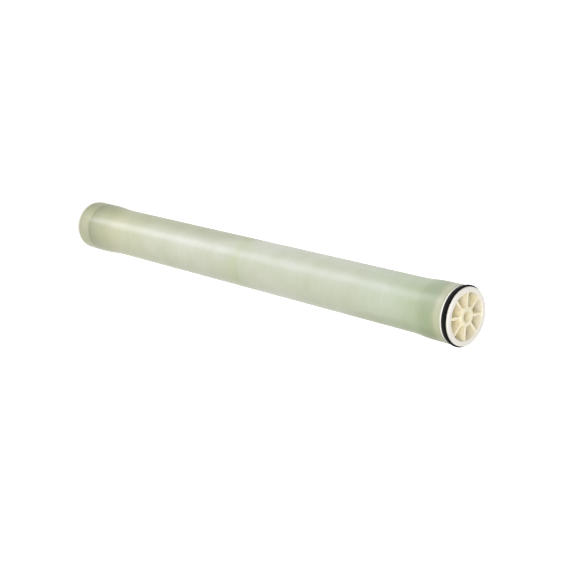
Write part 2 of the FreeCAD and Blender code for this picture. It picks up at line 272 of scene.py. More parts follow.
# %% Camera
CAMERA_OFF_AXIS, CAMERA_HEIGHT = 1.6062, 2.1609
CAMERA_SIDE = math.radians(-83.5)
AIM_ACROSS, AIM_UP, ROLL_TURN = 0.0108, 0.0295, -4.4682
FOCAL_PIXELS, PICTURE_WIDTH = 1213.37, 570

camera_data = bpy.data.cameras.new("camera")
camera = bpy.data.objects.new("camera", camera_data)
bpy.context.scene.collection.objects.link(camera)
bpy.context.scene.camera = camera
camera_data.sensor_width = 36.0
camera_data.lens = camera_data.sensor_width * FOCAL_PIXELS / PICTURE_WIDTH

outward = Vector((math.cos(CAMERA_SIDE), math.sin(CAMERA_SIDE), 0))
stand = outward * CAMERA_OFF_AXIS + Vector((0, 0, CAMERA_HEIGHT))
ahead = (Vector((0, 0, LENGTH / 2)) - stand).normalized()
right = ahead.cross(Vector((0, 0, 1))).normalized()
up = right.cross(ahead)
aim = (ahead + AIM_ACROSS * right + AIM_UP * up).normalized()
right = (right - right.dot(aim) * aim).normalized()
up = right.cross(aim)
picture_right = math.cos(ROLL_TURN) * right + math.sin(ROLL_TURN) * up
picture_up = math.cos(ROLL_TURN) * up - math.sin(ROLL_TURN) * right
turn = Matrix((picture_right, picture_up, -aim)).transposed()
camera.matrix_world = Matrix.Translation(stand) @ turn.to_4x4()
print("camera at", tuple(round(v, 3) for v in stand), "lens", round(camera_data.lens, 1), "mm")

# %% [markdown]
# The light is a plain photo studio: a pale sky, brighter on the camera's side, a broad soft lamp beside the
# camera, a weaker one for the back of the element, and two rows of flat lamps on the floor.
# The camera looks down on a standing tube, so the tube mirrors the floor to it. The first row is what it
# mirrors as the pale streak along the shell, and the second brightens the edge of its upper half.
# The lamps of a row get wider with their distance from the shell, so the shell mirrors the row equally
# bright all the way along.
# The sky and the floor look white to the camera and in reflections, which comes from the Light Path node
# and not from more light on the object.

# %% Sky
SKY_BEHIND, SKY_BEFORE = 0.25, 0.72
SKY_TURN, SKY_RISE = -0.3, 0.9

# The direction at right angles to the camera's that lies towards the top of the picture
across = Vector((0, 0, 1)).cross(outward)
if picture_up.dot(across) < 0:
    across = -across


def seen_directly(tree):
    """1 for rays that come from the camera, a mirror or glass."""
    path = step(tree, "ShaderNodeLightPath").outputs
    either = path["Is Camera Ray"]
    for other in ("Is Glossy Ray", "Is Transmission Ray"):
        either = sum_of(tree, "MAXIMUM", either, path[other])
    return either


world = bpy.data.worlds.new("studio_sky")
bpy.context.scene.world = world
world.use_nodes = True
sky = world.node_tree
sky.nodes.clear()
brightest = (outward + SKY_TURN * across + Vector((0, 0, SKY_RISE))).normalized()
ray = step(sky, "ShaderNodeTexCoord").outputs["Generated"]
facing = step(sky, "ShaderNodeVectorMath", {"operation": "DOT_PRODUCT"}, _0=ray, _1=brightest)
level = step(
    sky,
    "ShaderNodeMapRange",
    Value=facing.outputs["Value"],
    From_Min=-1.0,
    To_Min=SKY_BEHIND,
    To_Max=SKY_BEFORE,
)
lighting = step(sky, "ShaderNodeBackground", Color=grey(1.0), Strength=level.outputs[0]).outputs[0]
backdrop = step(sky, "ShaderNodeBackground", Color=grey(1.0)).outputs[0]
chosen = step(sky, "ShaderNodeMixShader", _0=seen_directly(sky), _1=lighting, _2=backdrop)
step(sky, "ShaderNodeOutputWorld", Surface=chosen.outputs[0])
print("the sky is brightest towards", tuple(round(v, 2) for v in brightest))


# %% Lamps
LAMP_DISTANCE, LAMP_LIFT = 2.6, 0.002


def flat_lamp(name, size, power, tint=(1.0, 1.0, 1.0)):
    """A rectangular lamp, not yet in its place."""
    data = bpy.data.lights.new(name, "AREA")
    data.shape = "RECTANGLE"
    data.size, data.size_y = size
    data.energy = power
    data.color = tint
    lamp = bpy.data.objects.new(name, data)
    bpy.context.scene.collection.objects.link(lamp)
    return lamp


def soft_lamp(name, towards, side, power):
    """A square lamp that faces the middle of the element."""
    lamp = flat_lamp(name, (side, side), power)
    middle = Vector((0, 0, LENGTH / 2))
    lamp.location = middle + towards.normalized() * LAMP_DISTANCE
    lamp.rotation_euler = (middle - lamp.location).to_track_quat("-Z", "Y").to_euler()


def floor_lamps(name, turns, steps, spread, glow, tint):
    """A row of flat lamps on the floor, its near end and far end this many degrees round from the camera."""
    for place, (near, far) in enumerate(zip(steps, steps[1:])):
        turn = math.radians(turns[0] + (turns[1] - turns[0]) * place / (len(steps) - 2))
        line = math.cos(turn) * outward + math.sin(turn) * across
        size = (far - near, spread * ((near + far) / 2 - RIM * MM))
        lamp = flat_lamp(name, size, glow * size[0] * size[1], tint)
        lamp.location = line * (near + far) / 2 + Vector((0, 0, LAMP_LIFT))
        lamp.rotation_euler = (math.pi, 0, math.atan2(line.y, line.x))


soft_lamp("key_lamp", outward - 0.27 * across + Vector((0, 0, 0.95)), side=1.4, power=26.5)
soft_lamp("back_lamp", -outward + Vector((0, 0, 0.25)), side=1.8, power=14.0)
floor_lamps(
    "streak_lamp",
    turns=(14, 38),
    steps=(0.08, 0.11, 0.16, 0.25, 0.42, 0.7, 1.15, 1.8),
    spread=0.5,
    glow=14.0,
    tint=(0.86, 0.84, 1.1),
)
floor_lamps(
    "edge_lamp",
    turns=(105, 105),
    steps=(0.8, 1.2, 1.8),
    spread=0.6,
    glow=2.5,
    tint=(0.9, 0.94, 1.0),
)
print("lamps:", len(bpy.data.lights))

# %% Floor
FLOOR_REACH, FLOOR_DROP = 30.0, 0.0003
PAPER_GREY, FLOOR_GLOW = 0.85, 0.56

floor_mesh = bpy.data.meshes.new("floor")
sides = ((-1, -1), (1, -1), (1, 1), (-1, 1))
floor_mesh.from_pydata([(x * FLOOR_REACH, y * FLOOR_REACH, 0) for x, y in sides], [], [(0, 1, 2, 3)])
floor = bpy.data.objects.new("floor", floor_mesh)
floor.location.z = -FLOOR_DROP
bpy.context.scene.collection.objects.link(floor)
floor_finish = bpy.data.materials.new("white_paper")
floor_finish.use_nodes = True
paper = floor_finish.node_tree
paper.nodes.clear()
matt = step(paper, "ShaderNodeBsdfDiffuse", Color=grey(PAPER_GREY))
shown = sum_of(paper, "MULTIPLY", seen_directly(paper), FLOOR_GLOW)
glow = step(paper, "ShaderNodeEmission", Strength=shown)
together = step(paper, "ShaderNodeAddShader", _0=matt.outputs[0], _1=glow.outputs[0])
step(paper, "ShaderNodeOutputMaterial", Surface=together.outputs[0])
floor_mesh.materials.append(floor_finish)

# %% [markdown]
# Geometry Nodes repeat what the element repeats. The tree below turns one shape round the axis as often as
# asked, joins the copies with the moulding that carries them when there is one, and gives the result
# its material.


# %% Helpers for node trees
def new_tree(name, *sizes):
    """A tree with a geometry input and output, and a named input for each (name, kind, value)."""
    tree = bpy.data.node_groups.new(name, "GeometryNodeTree")
    tree.interface.new_socket("Geometry", in_out="INPUT", socket_type="NodeSocketGeometry")
    tree.interface.new_socket("Geometry", in_out="OUTPUT", socket_type="NodeSocketGeometry")
    for label, kind, value in sizes:
        item = tree.interface.new_socket(label, in_out="INPUT", socket_type="NodeSocket" + kind)
        if value is not None:
            item.default_value = value
    given = tree.nodes.new("NodeGroupInput")
    result = tree.nodes.new("NodeGroupOutput")
    return tree, given.outputs, result.inputs["Geometry"]


def run_tree(name, source, tree, values, sharp=40):
    """Run the tree on the source object and keep the result as a plain mesh under the new name."""
    modifier = source.modifiers.new("nodes", "NODES")
    modifier.node_group = tree
    for item in tree.interface.items_tree:
        if item.item_type == "SOCKET" and item.in_out == "INPUT" and item.name in values:
            modifier[item.identifier] = values[item.name]
    bpy.context.view_layer.update()
    graph = bpy.context.evaluated_depsgraph_get()
    mesh = bpy.data.meshes.new_from_object(source.evaluated_get(graph))
    mesh.name = name
    mesh.materials.clear()
    mesh.materials.append(values["Material"])
    mesh.polygons.foreach_set("material_index", [0] * len(mesh.polygons))
    drop_slivers(mesh)
    carried = [value for value in values.values() if isinstance(value, bpy.types.Object)]
    for used_up in [*carried, source]:
        bpy.data.objects.remove(used_up)
    piece = finished(name, mesh, sharp)
    print(name, "has", len(mesh.polygons), "faces")
    return piece


def tree_round_axis(joined):
    """Copies of the incoming shape round Z, joined with a carrier object when asked."""
    sizes = [("Count", "Int", 1), ("First Angle", "Float", 0.0), ("Material", "Material", None)]
    sizes += [("Carrier", "Object", None)] if joined else []
    tree, given, result = new_tree("round_the_axis", *sizes)
    points = step(tree, "GeometryNodePoints", Count=given["Count"])
    index = step(tree, "GeometryNodeInputIndex").outputs[0]
    share = sum_of(tree, "DIVIDE", sum_of(tree, "MULTIPLY", index, 2 * math.pi), given["Count"])
    angle = sum_of(tree, "ADD", share, given["First Angle"])
    euler = step(tree, "ShaderNodeCombineXYZ", Z=angle)
    rotation = step(tree, "FunctionNodeEulerToRotation", Euler=euler.outputs[0])
    copies = step(
        tree,
        "GeometryNodeInstanceOnPoints",
        Points=points.outputs[0],
        Instance=given["Geometry"],
        Rotation=rotation.outputs[0],
    )
    shape = step(tree, "GeometryNodeRealizeInstances", Geometry=copies.outputs[0]).outputs[0]
    if joined:
        carrier = step(tree, "GeometryNodeObjectInfo", Object=given["Carrier"]).outputs["Geometry"]
        union = step(tree, "GeometryNodeMeshBoolean", {"operation": "UNION", "solver": "EXACT"})
        tree.links.new(carrier, union.inputs["Mesh 2"])
        tree.links.new(shape, union.inputs["Mesh 2"])
        shape = step(tree, "GeometryNodeRealizeInstances", Geometry=union.outputs["Mesh"]).outputs[0]
    final = step(tree, "GeometryNodeSetMaterial", Geometry=shape, Material=given["Material"])
    tree.links.new(final.outputs[0], result)
    return tree


def settle(piece, slot, *nodes):
    """The piece rides on the one body and stands for its CAD nodes, which are hidden. The slot is not used.
    """
    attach(piece, "root")
    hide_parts(*nodes)
    low, high = piece.bound_box[0], piece.bound_box[6]
    print(piece.name, "lies from", [round(v, 4) for v in low], "to", [round(v, 4) for v in high])


# %% [markdown]
# The end caps are moulded in an ivory plastic. Light that goes into such a plastic comes out again a little
# further on, which warms the hollows between the spokes, while the rim that the light hits first looks
# whiter. The finish paints that light into its colour with a mix over the distance from the axis: warm
# painted light in the hollows and a whiter rim. It also has the faint cloudiness of a moulding.

# %% Finish of the end caps
WARM_WITHIN, WHITE_BEYOND = 36.0, 43.0
CAP_FINISH = Finish("ivory_moulding", roughness=0.42, Specular_IOR_Level=0.4)
cap = CAP_FINISH
squares = [cap.math("POWER", cap.axes[name], 2.0) for name in ("X", "Y")]
radius = cap.math("SQRT", cap.math("ADD", *squares))
# Painted light: a warm glow within the hollows and a whiter rim, chosen by the distance from the axis
spread = cap.add("ShaderNodeMapRange", Value=radius, From_Min=WARM_WITHIN * MM, From_Max=WHITE_BEYOND * MM)
warm = cap.ramp(cap.noise(60.0), [(0.3, colour(250, 240, 205)), (0.7, colour(255, 247, 219))])
white = cap.ramp(cap.noise(45.0), [(0.3, colour(240, 235, 224)), (0.7, colour(248, 244, 234))])
cap.paint(cap.mix(spread.outputs[0], warm, white))
cap.roughen(cap.noise(220.0), 0.34, 0.5)
cap.emboss(cap.noise(900.0, 2.0), strength=0.15, depth=0.05)

# %% [markdown]
# Each cap is one moulding: a rim, a hub round the permeate tube, eight spokes between them and a skirt
# over the end of the roll. A spoke is a flat bar whose ends flare into the hub and the rim. It is drawn
# once, its front edges are bevelled, and the node tree copies it round the hub and joins it with
# the turned parts.

# %% Spoke
SPOKE_THICKNESS, SPOKE_COUNT, WINDOW_CORNER = 4.8, 8, 1.8
SPOKE_EDGE, SPOKE_BACK = 0.7, CAP_BACK - 0.1
EMBEDDED = 1.3


def flare(circle, reach_out, towards_rim, steps=5):
    """The round corner from a spoke's side to the hub or the rim, on the side of positive Y."""
    off = SPOKE_THICKNESS / 2 + WINDOW_CORNER
    centre = Vector((math.sqrt(reach_out**2 - off**2), off))
    on_spoke = Vector((centre.x, SPOKE_THICKNESS / 2)) - centre
    on_circle = centre * (circle / reach_out) - centre
    turn = on_spoke.angle_signed(on_circle)
    corner = []
    for k in range(steps + 1):
        spot = on_spoke.copy()
        spot.rotate(Matrix.Rotation(-turn * k / steps, 2))
        corner.append(tuple(centre + spot))
    x, y = corner[-1]
    return corner + [(x + (EMBEDDED if towards_rim else -EMBEDDED), y)]


def spoke_object(depth_front, depth_back, height_of):
    """One spoke along +X between two depths from the cap's face. Its ends reach into the hub and the rim."""
    to_rim = flare(RIM_OPENING, RIM_OPENING - WINDOW_CORNER, True)
    to_hub = flare(HUB, HUB + WINDOW_CORNER, False)
    upper = list(reversed(to_hub)) + to_rim
    plan = upper + [(x, -y) for x, y in reversed(upper)]
    work = bmesh.new()
    front = [work.verts.new((x * MM, y * MM, height_of(depth_front) * MM)) for x, y in plan]
    back = [work.verts.new((x * MM, y * MM, height_of(depth_back) * MM)) for x, y in plan]
    lid = work.faces.new(front)
    work.faces.new(back)
    for i in range(len(plan)):
        j = (i + 1) % len(plan)
        work.faces.new((front[i], front[j], back[j], back[i]))
    offset = SPOKE_EDGE * MM
    bmesh.ops.bevel(work, geom=list(lid.edges), offset=offset, segments=3, profile=0.5, affect="EDGES")
    mesh = bpy.data.meshes.new("spoke")
    work.to_mesh(mesh)
    work.free()
    point_outwards(mesh)
    return finished("spoke", mesh)


# %% Turned parts of the caps
HUB_RECESS = 0.6
GROOVE, GROOVE_FRONT, GROOVE_BACK = 44.3, 4.5, 14.5

HUB_SECTION = [
    (HUB_BORE, HUB_RECESS, 0.3),
    (HUB, HUB_RECESS, 0.8),
    (HUB, CAP_BACK, 0.2),
    (HUB_BORE, CAP_BACK, 0.2),
]
RIM_FACE = [
    (SKIRT_INSIDE, CAP_BACK, 0.3),
    (RIM_OPENING, CAP_BACK, 0.3),
    (RIM_OPENING, 0.0, 1.3),
    (RIM, 0.0, 0.9),
]
FEED_OUTSIDE = [
    (RIM, GROOVE_FRONT, 0.3),
    (GROOVE, GROOVE_FRONT, 0.3),
    (GROOVE, GROOVE_BACK, 0.3),
    (RIM, GROOVE_BACK, 0.3),
    (RIM, CAP_BACK, 0.4),
    (SKIRT_OUTSIDE, CAP_BACK, 0.0),
    (SKIRT_OUTSIDE, FEED_SKIRT_END, 0.4),
    (SKIRT_INSIDE, FEED_SKIRT_END, 0.4),
]
TAIL_OUTSIDE = [
    (RIM, TAIL_RIM_BACK, 0.4),
    (SKIRT_OUTSIDE, TAIL_RIM_BACK, 0.0),
    (SKIRT_OUTSIDE, TAIL_SKIRT_END, 0.4),
    (SKIRT_INSIDE, TAIL_SKIRT_END, 0.4),
]


def end_cap(name, outside, at_feed_end):
    """Join the turned parts and the spokes of one cap."""
    parts = []
    for corners in (HUB_SECTION, RIM_FACE + outside):
        section = soften(corners)
        parts.append(turned_mesh(name, flipped(section) if at_feed_end else section))
    work = bmesh.new()
    for part in parts:
        work.from_mesh(part)
    turned = bpy.data.meshes.new(name + "_turned")
    work.to_mesh(turned)
    work.free()
    carrier = finished(name + "_turned", turned)
    height_of = (lambda depth: LENGTH_MM - depth) if at_feed_end else (lambda depth: depth)
    spoke = spoke_object(SPOKE_RECESS, SPOKE_BACK, height_of)
    values = {
        "Count": SPOKE_COUNT,
        "First Angle": math.pi / SPOKE_COUNT,
        "Material": CAP_FINISH.material,
        "Carrier": carrier,
    }
    return run_tree(name, spoke, tree_round_axis(joined=True), values)


feed_cap = end_cap("feed_cap", FEED_OUTSIDE, True)
settle(feed_cap, "cap_plastic", "feed_end_cap")
tail_cap = end_cap("tail_cap", TAIL_OUTSIDE, False)
settle(tail_cap, "cap_plastic", "tail_end_cap")

# %% [markdown]
# The brine seal is a rubber U-cup in the groove of the feed cap. Its lip leans outwards to meet the wall
# of the vessel. Rubber is dark but never quite black, with a soft sheen and a little dust in its pores.

# %% Brine seal
SEAL_SECTION = [
    (44.35, 4.75, 0.3),
    (46.15, 4.75, 0.6),
    (46.15, 10.85, 0.5),
    (47.15, 10.85, 0.5),
    (49.7, 4.75, 0.4),
    (51.6, 4.75, 0.7),
    (51.6, 8.05, 1.5),
    (49.6, 14.25, 0.9),
    (44.35, 14.25, 0.4),
]
seal_mesh = turned_mesh("seal_ring", flipped(soften(SEAL_SECTION)))
seal_ring = finished("seal_ring", seal_mesh, 50)
rubber = Finish("black_rubber", roughness=0.5, Specular_IOR_Level=0.08)
rubber.paint(rubber.ramp(rubber.noise(500.0), [(0.35, colour(7, 7, 5)), (0.75, colour(15, 15, 12))]))
rubber.roughen(rubber.noise(160.0), 0.5, 0.7)
rubber.emboss(rubber.noise(2500.0, 2.0), strength=0.2, depth=0.05)
seal_mesh.materials.append(rubber.material)
settle(seal_ring, "seal_rubber", "brine_seal")

# %% [markdown]
# The permeate tube runs the whole length and carries the clean water out. It has a plain socket at each end
# and four rows of small holes under the roll. The holes are a rule, a row at an even pitch, so a node tree
# makes them: a line of points, a peg on each point, and one cut through the tube.

# %% Permeate tube
TUBE, TUBE_BORE, SOCKET, SOCKET_DEPTH = 13.5, 9.0, 9.55, 45.0
TUBE_SECTION = [
    (SOCKET, 0.0, 0.5),
    (TUBE, 0.0, 0.4),
    (TUBE, LENGTH_MM, 0.4),
    (SOCKET, LENGTH_MM, 0.5),
    (SOCKET, LENGTH_MM - SOCKET_DEPTH, 0.2),
    (TUBE_BORE, LENGTH_MM - SOCKET_DEPTH, 0.2),
    (TUBE_BORE, SOCKET_DEPTH, 0.2),
    (SOCKET, SOCKET_DEPTH, 0.2),
]
HOLE, HOLE_MARGIN, HOLES_IN_ROW = 1.6, 90.0, 18
HOLE_PITCH = (LENGTH_MM - 2 * HOLE_MARGIN) / (HOLES_IN_ROW - 1)
PEG_LENGTH = 40.0


def tree_perforated():
    """Pegs in two crossing rows, taken out of the incoming tube."""
    tree, given, result = new_tree(
        "perforated_tube",
        ("Hole Radius", "Float", HOLE * MM),
        ("First Height", "Float", HOLE_MARGIN * MM),
        ("Pitch", "Float", HOLE_PITCH * MM),
        ("Holes In Row", "Int", HOLES_IN_ROW),
        ("Material", "Material", None),
    )
    cut = step(tree, "GeometryNodeMeshBoolean", {"operation": "DIFFERENCE", "solver": "EXACT"})
    tree.links.new(given["Geometry"], cut.inputs["Mesh 1"])
    for row, lie in enumerate(((math.pi / 2, 0, 0), (0, math.pi / 2, 0))):
        start = sum_of(tree, "MULTIPLY_ADD", given["Pitch"], 0.5 * row, given["First Height"])
        count = sum_of(tree, "SUBTRACT", given["Holes In Row"], float(row))
        first = step(tree, "ShaderNodeCombineXYZ", Z=start).outputs[0]
        offset = step(tree, "ShaderNodeCombineXYZ", Z=given["Pitch"]).outputs[0]
        line = step(tree, "GeometryNodeMeshLine", Count=count, Start_Location=first, Offset=offset)
        size = {"Radius": given["Hole Radius"], "Depth": PEG_LENGTH * MM}
        peg = step(tree, "GeometryNodeMeshCylinder", Vertices=20, **size).outputs["Mesh"]
        pegs = step(tree, "GeometryNodeInstanceOnPoints", Points=line.outputs[0], Instance=peg, Rotation=lie)
        loose = step(tree, "GeometryNodeRealizeInstances", Geometry=pegs.outputs[0])
        tree.links.new(loose.outputs[0], cut.inputs["Mesh 2"])
    real = step(tree, "GeometryNodeRealizeInstances", Geometry=cut.outputs["Mesh"])
    final = step(tree, "GeometryNodeSetMaterial", Geometry=real.outputs[0], Material=given["Material"])
    tree.links.new(final.outputs[0], result)
    return tree


cream = Finish("cream_tube_plastic", roughness=0.4)
cream.paint(cream.ramp(cream.noise(50.0), [(0.3, colour(242, 233, 200)), (0.7, colour(250, 242, 214))]))
cream.roughen(cream.noise(180.0), 0.32, 0.48)
cream.emboss(cream.noise(300.0, 2.0, (1, 1, 0.05)), strength=0.2, depth=0.05)
bare_tube = finished("bare_tube", turned_mesh("bare_tube", soften(TUBE_SECTION), 96))
tube_values = {
    "Hole Radius": HOLE * MM,
    "First Height": HOLE_MARGIN * MM,
    "Pitch": HOLE_PITCH * MM,
    "Holes In Row": HOLES_IN_ROW,
    "Material": cream.material,
}
tube = run_tree("tube", bare_tube, tree_perforated(), tube_values, 50)
settle(tube, "tube_plastic", "permeate_tube")

# %% [markdown]
# The roll is six leaves wound round the tube. Each is a carrier cloth, a membrane folded round a spacer net,
# and the spacer. All follow one spiral, the path of a string's end as it unwinds from a hexagon, so they
# nest. A sheet is drawn as two curves side by side on that spiral and closed into a ribbon as tall as
# the roll.
# Its cut edges are not quite even, as on a real roll, and the node tree turns one leaf into six.

# %% Spiral
LEAVES, CARRIER, PLY, SPACER, SHEET_GAP, FOLD_SETBACK = 6, 0.3, 0.16, 0.75, 0.02, 4.0
SECTOR = 2 * math.pi / LEAVES
PITCH = CARRIER + 2 * PLY + SPACER + 4 * SHEET_GAP
CENTRE_CIRCLE = PITCH / (2 * math.sin(SECTOR / 2))
INRADIUS = CENTRE_CIRCLE * math.cos(SECTOR / 2)
FIRST_RADIUS = PITCH / 2 + math.sqrt(HUB_BORE**2 - INRADIUS**2)
INNER_PLY = CARRIER + SHEET_GAP
SPACER_FACE = INNER_PLY + PLY + SHEET_GAP
OUTER_PLY = SPACER_FACE + SPACER + SHEET_GAP
LEAF_FACE = OUTER_PLY + PLY
STEPS_IN_ARC = 20


def arc_start(index):
    return (index - 0.5) * SECTOR - math.pi / 2


def last_arc():
    """The arc on which the outer face of a leaf reaches the size of the roll, and the angle there."""
    index = 0
    while math.hypot(INRADIUS, FIRST_RADIUS + index * PITCH + LEAF_FACE + PITCH / 2) < ROLL:
        index += 1
    reach_out = FIRST_RADIUS + index * PITCH + LEAF_FACE
    turn = math.acos((ROLL**2 - CENTRE_CIRCLE**2 - reach_out**2) / (2 * CENTRE_CIRCLE * reach_out))
    return index, index * SECTOR - turn


LAST_ARC, LAST_ANGLE = last_arc()


def spiral(offset, start_angle):
    """Points of one face of a sheet, from the tube outwards."""
    points = []
    for index in range(LAST_ARC + 1):
        reach_out = FIRST_RADIUS + index * PITCH + offset
        low = start_angle if index == 0 else arc_start(index)
        high = LAST_ANGLE if index == LAST_ARC else arc_start(index + 1)
        centre = Vector((math.cos(index * SECTOR), math.sin(index * SECTOR))) * CENTRE_CIRCLE
        last = index == LAST_ARC
        for k in range(STEPS_IN_ARC + last):
            angle = low + (high - low) * k / STEPS_IN_ARC
            points.append(centre + reach_out * Vector((math.cos(angle), math.sin(angle))))
    return points


FOLD_ANGLE = arc_start(0) + FOLD_SETBACK / FIRST_RADIUS
print("a leaf has", LAST_ARC + 1, "arcs and is", len(spiral(0, FOLD_ANGLE)), "points long")


# %% Wound sheets
def fold_points(low, high, steps=8):
    """The round fold of the membrane between two faces, from the inner to the outer one."""
    inward = Vector((math.sin(FOLD_ANGLE), -math.cos(FOLD_ANGLE)))
    outward_here = Vector((math.cos(FOLD_ANGLE), math.sin(FOLD_ANGLE)))
    middle = Vector((CENTRE_CIRCLE, 0)) + outward_here * (FIRST_RADIUS + (low + high) / 2)
    half = (high - low) / 2
    turns = [math.pi * k / steps for k in range(1, steps)]
    return [middle + half * (math.sin(t) * inward - math.cos(t) * outward_here) for t in turns]


def folded(low, high):
    """A curve that comes in along one face, goes round the fold and out again along the other."""
    return spiral(low, FOLD_ANGLE)[::-1] + fold_points(low, high) + spiral(high, FOLD_ANGLE)


def ribbon(name, first, second, set_back, uneven):
    """Close two curves into a sheet as tall as the roll, its edges unevenly set back from the ends."""
    count = len(first)
    verts = []
    for i in range(count):
        # Two slow waves of different lengths, so that the cut never repeats along the sheet
        wave = 0.5 + 0.25 * math.sin(i * 0.37 + set_back * 40) + 0.25 * math.sin(i * 0.113 + 2.0)
        inset = set_back + uneven * wave
        low, high = ROLL_START + inset, LENGTH_MM - ROLL_START - inset
        for curve in (first, second):
            x, y = curve[i]
            verts.append((x * MM, y * MM, low * MM))
            verts.append((x * MM, y * MM, high * MM))
    faces = [(0, 1, 3, 2)]
    for i in range(count - 1):
        a, b = 4 * i, 4 * (i + 1)
        faces += [(a, b, b + 1, a + 1), (a + 2, a + 3, b + 3, b + 2)]
        faces += [(a, a + 2, b + 2, b), (a + 1, b + 1, b + 3, a + 3)]
    end = 4 * (count - 1)
    faces.append((end, end + 2, end + 3, end + 1))
    mesh = bpy.data.meshes.new(name)
    mesh.from_pydata(verts, [], faces)
    point_outwards(mesh)
    return finished(name, mesh)


def six_leaves(name, leaf, material, slot, kind):
    """Turn one leaf's sheet into six, which stand for the six CAD nodes of its kind."""
    values = {"Count": LEAVES, "First Angle": 0.0, "Material": material}
    piece = run_tree(name, leaf, tree_round_axis(joined=False), values)
    settle(piece, slot, *[f"{kind}_{number}" for number in range(1, LEAVES + 1)])


# %% [markdown]
# Three sheets show between the spokes. The carrier is a knitted polyester with fine ribs across it.
# The membrane is a smooth cast film on a white backing. The spacer is a net of two crossing layers
# of strands.
# Their patterns follow the height along the roll and the noise of the yarn.

# %% Finishes of the sheets
KNIT_RIB = 0.6

knit = Finish("knitted_carrier", roughness=0.8)
knit.paint(knit.ramp(knit.noise(400.0), [(0.3, colour(222, 216, 186)), (0.7, colour(240, 235, 210))]))
ribs = knit.math("SINE", knit.math("MULTIPLY", knit.axes["Z"], 2 * math.pi / (KNIT_RIB * MM)))
knit.emboss(ribs, strength=0.4, depth=0.1)

film = Finish("membrane_film", roughness=0.45)
film.paint(film.ramp(film.noise(90.0), [(0.3, colour(218, 210, 168)), (0.7, colour(238, 230, 194))]))
film.roughen(film.noise(300.0), 0.38, 0.55)
film.emboss(film.noise(1200.0, 2.0), strength=0.1, depth=0.05)

net = Finish("crossed_strands", roughness=0.35)
strands = net.noise(700.0, 2.0, (1, 1, 0.6))
net.paint(net.ramp(strands, [(0.42, colour(150, 148, 104)), (0.56, colour(206, 201, 160))]))
net.emboss(strands, strength=0.6, depth=0.3)

# %% Leaves
carrier = ribbon("carrier", spiral(0, arc_start(0)), spiral(CARRIER, arc_start(0)), 0.0, 0.25)
six_leaves("carrier_cloths", carrier, knit.material, "carrier_cloth", "permeate_carrier")

membrane = ribbon("membrane", folded(INNER_PLY, LEAF_FACE), folded(INNER_PLY + PLY, OUTER_PLY), 0.1, 0.3)
six_leaves("membrane_sheets", membrane, film.material, "membrane", "membrane_sheet")

spacer_faces = [spiral(face, FOLD_ANGLE) for face in (SPACER_FACE, SPACER_FACE + SPACER)]
spacer = ribbon("spacer", *spacer_faces, 0.5, 0.8)
six_leaves("spacer_nets", spacer, net.material, "spacer_net", "feed_spacer")

# %% [markdown]
# A band of tape holds the roll together until the glass fibre is wound over it. It is wrapped in a slow
# screw, so its overlaps make a faint step that climbs round the roll.

# %% Roll tape
TAPE, TAPE_WIDTH = 0.25, 48.0
TAPE_INSIDE = ROLL + WRAP_GAP
tape_section = [
    (TAPE_INSIDE, ROLL_START, 0.0),
    (TAPE_INSIDE + TAPE, ROLL_START, 0.05),
    (TAPE_INSIDE + TAPE, LENGTH_MM - ROLL_START, 0.05),
    (TAPE_INSIDE, LENGTH_MM - ROLL_START, 0.0),
]
tape_mesh = turned_mesh("tape", soften(tape_section))
tape = finished("tape", tape_mesh)
clear = Finish("clear_packing_tape", roughness=0.3)
around = clear.math("DIVIDE", clear.math("ARCTAN2", clear.axes["Y"], clear.axes["X"]), 2 * math.pi)
climb = clear.math("DIVIDE", clear.axes["Z"], TAPE_WIDTH * MM)
lap = clear.math("FRACT", clear.math("ADD", climb, around))
lap_stops = [(0.0, colour(196, 190, 158)), (0.1, colour(222, 217, 190)), (1.0, colour(216, 210, 182))]
clear.paint(clear.ramp(lap, lap_stops))
clear.emboss(lap, strength=0.3, depth=0.1)
tape_mesh.materials.append(clear.material)
settle(tape, "tape", "roll_tape")

# %% [markdown]
# The shell is glass fibre, wound wet round the roll and cured. The rovings cross in two slow screws, so the
# surface has a shallow weave of bands that can be felt more than seen. The shell is a turned shape first.
# Then a node tree moves its outer points by a rule: two trains of ripples, one climbing each way.

# %% Shell
TAIL_FLARE, FEED_FLARE = 50.1, 49.8
TAIL_FLARE_END, TAIL_TAPER = 55.0, 65.0
FEED_FLARE_END, FEED_TAPER = 49.0, 50.0
SHELL_STEP = 2.4
SHELL_EDGE, SHELL_CHAMFER = 0.8, 0.25


def shell_outside(height):
    """Radius of the shell at a height."""
    for flare_radius, start, taper, depth in (
        (TAIL_FLARE, TAIL_FLARE_END, TAIL_TAPER, height),
        (FEED_FLARE, FEED_FLARE_END, FEED_TAPER, LENGTH_MM - height),
    ):
        t = (depth - start) / taper
        if t < 1:
            t = max(t, 0)
            share = 1 - 2 * t * t if t < 0.5 else 2 * (1 - t) ** 2
            return SHELL_BODY + (flare_radius - SHELL_BODY) * share
    return SHELL_BODY


ON_SKIRT, ON_ROLL = SKIRT_OUTSIDE + WRAP_GAP, TAPE_INSIDE + TAPE + WRAP_GAP
tail_edge, feed_edge = TAIL_RIM_BACK + WRAP_GAP, LENGTH_MM - CAP_BACK - WRAP_GAP
shell_section = [
    (ON_SKIRT, tail_edge),
    (TAIL_FLARE - SHELL_EDGE, tail_edge),
    (TAIL_FLARE - SHELL_CHAMFER, tail_edge + SHELL_CHAMFER),
]
lowest, highest = tail_edge + SHELL_EDGE, feed_edge - SHELL_EDGE
rings = int((highest - lowest) / SHELL_STEP)
for k in range(rings + 1):
    height = lowest + (highest - lowest) * k / rings
    shell_section.append((shell_outside(height), height))
shell_section += [
    (FEED_FLARE - SHELL_CHAMFER, feed_edge - SHELL_CHAMFER),
    (FEED_FLARE - SHELL_EDGE, feed_edge),
    (ON_SKIRT, feed_edge),
]
feed_step, tail_step = LENGTH_MM - FEED_SKIRT_END - WRAP_GAP, TAIL_SKIRT_END + WRAP_GAP
shell_section += [(ON_SKIRT, feed_step), (ON_ROLL, feed_step), (ON_ROLL, tail_step), (ON_SKIRT, tail_step)]
